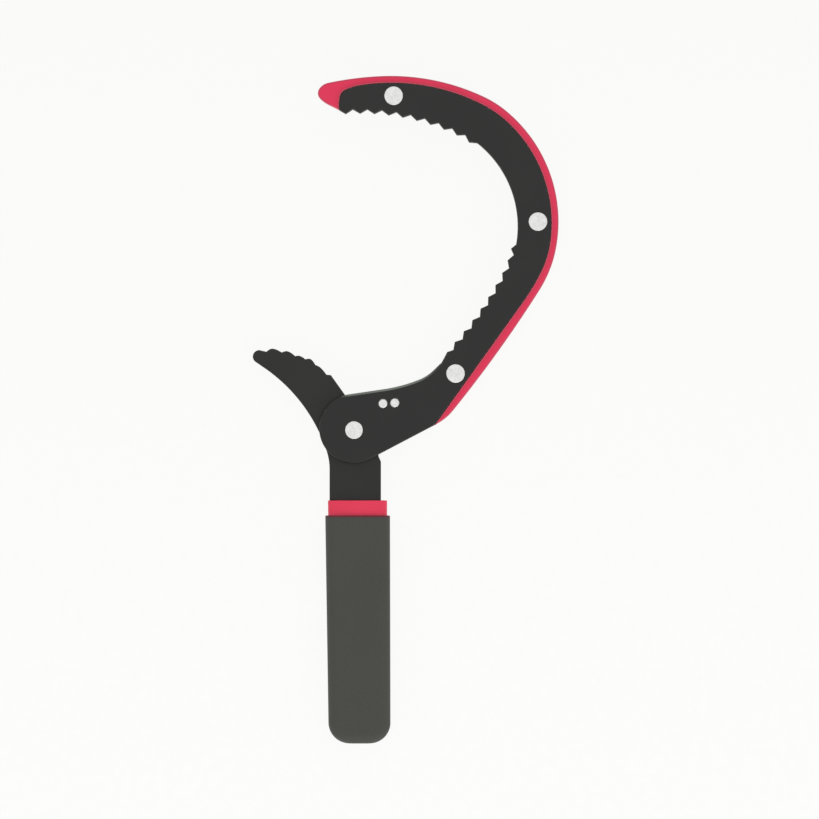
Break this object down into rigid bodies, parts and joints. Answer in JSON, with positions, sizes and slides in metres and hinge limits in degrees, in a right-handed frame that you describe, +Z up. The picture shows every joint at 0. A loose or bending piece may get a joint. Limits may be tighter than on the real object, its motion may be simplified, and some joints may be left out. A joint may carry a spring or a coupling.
{
  "type": "oil filter wrench",
  "caption": "Hook-jawed wrench for gripping round oil filter cans, with a riveted toothed hook, a pivoting toothed jaw lever and a two-layer soft grip.",
  "frame": {"origin": "centre of the tool's box on the surface it lies on: below the rivet heads and the grip", "axes": "+Y from the grip's end towards the hook's tip, +X towards the hook's back, +Z up through the thickness of the flat tool"},
  "size_m": [0.1374, 0.3, 0.014],
  "materials": {
    "coated_steel": "satin black coating on pressed steel",
    "lever_steel": "satin black coating on pressed steel",
    "red_core": "red moulded plastic, soft sheen",
    "red_liner": "red soft plastic, soft sheen",
    "bright_steel": "bright plated, lightly mottled",
    "washer_steel": "plain",
    "dark_rubber": "dark grey soft plastic, matt"
  },
  "bodies": {
    "hook": {"hook_front_plate": "coated_steel", "hook_back_plate": "coated_steel", "hook_core": "red_core", "hook_rivet_tip": "bright_steel", "hook_rivet_middle": "bright_steel", "hook_rivet_lower": "bright_steel", "core_pin_inner": "bright_steel", "core_pin_outer": "bright_steel", "pivot_pin": "bright_steel"},
    "lever": {"lever": "lever_steel", "pivot_washer_front": "washer_steel", "pivot_washer_back": "washer_steel", "grip_liner": "red_liner", "grip_sleeve": "dark_rubber"}
  },
  "joints": [
    {"name": "lever_swing", "type": "hinge", "parent": "hook", "child": "lever", "pos_m": [-0.0232, -0.00916, 0.007], "axis": [0, 0, 1], "range_deg": [-46, 25]}
  ]
}
